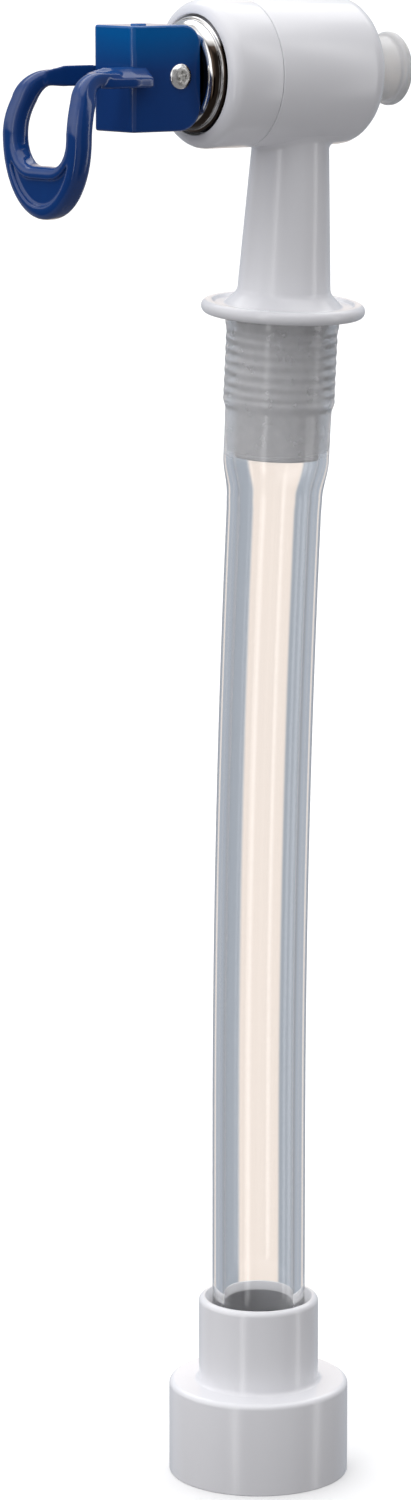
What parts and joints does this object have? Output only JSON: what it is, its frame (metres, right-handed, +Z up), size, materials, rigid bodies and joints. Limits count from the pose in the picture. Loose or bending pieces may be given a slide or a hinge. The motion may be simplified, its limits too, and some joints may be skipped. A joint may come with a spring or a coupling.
{
  "type": "lever tap on a hose",
  "caption": "Lever-loop drinking-water tap on a clear silicone hose, with a reducing adapter at the hose's foot; a sprung lever lifts the stem off its seat.",
  "frame": {"origin": "centre of the adapter's open mouth, on its bottom face", "axes": "+Z up the hose from the adapter; the tap's nozzle points to +X and its lever to -X; +Y across the barrel"},
  "size_m": [0.0728, 0.031, 0.2573],
  "materials": {
    "white_plastic": "smooth gloss, moulded",
    "blue_plastic": "smooth gloss, moulded",
    "clear_silicone": "clear, smooth",
    "milky_plastic": "milky, slightly see-through",
    "natural_plastic": "satin, moulded",
    "white_silicone": "satin",
    "grey_rubber": "matte",
    "black_rubber": "matte",
    "stainless_steel": "plain, slightly pitted",
    "chrome": "polished plate"
  },
  "bodies": {
    "tap": {"inlet_adapter": "white_plastic", "adapter_gasket": "grey_rubber", "hose": "clear_silicone", "shank_washer": "white_silicone", "tap_body": "white_plastic", "bonnet_collar": "white_plastic", "collar_gasket": "white_silicone", "guide_bush": "natural_plastic", "stem_o_ring": "black_rubber", "seal_washer": "stainless_steel", "return_spring": "stainless_steel", "thrust_washer": "natural_plastic", "nozzle": "milky_plastic", "nozzle_seal": "white_silicone"},
    "head_ring": {"chrome_ring": "chrome"},
    "stem": {"stem": "natural_plastic", "seat_plug": "white_silicone", "spring_washer": "stainless_steel"},
    "lever": {"lever": "blue_plastic", "lever_pin": "stainless_steel"}
  },
  "joints": [
    {"name": "head_swivel", "type": "hinge", "parent": "tap", "child": "head_ring", "pos_m": [-0.01323, 0, 0.24505], "axis": [0.9986, 0, -0.0523], "continuous": true},
    {"name": "stem_lift", "type": "slide", "parent": "head_ring", "child": "stem", "axis": [-0.9986, 0, 0.0523], "range_m": [0, 0.0019], "deforming": ["return_spring"]},
    {"name": "lever_tilt", "type": "hinge", "parent": "stem", "child": "lever", "pos_m": [-0.02017, 0, 0.24541], "axis": [0.0042, -0.9967, 0.081], "range_deg": [0, 22], "stiffness_Nm_per_rad": 0.025, "springref_deg": -14.32}
  ],
  "couplings": [
    {"joint": "lever_tilt", "follows": "stem_lift", "rad_per_m": 202}
  ]
}
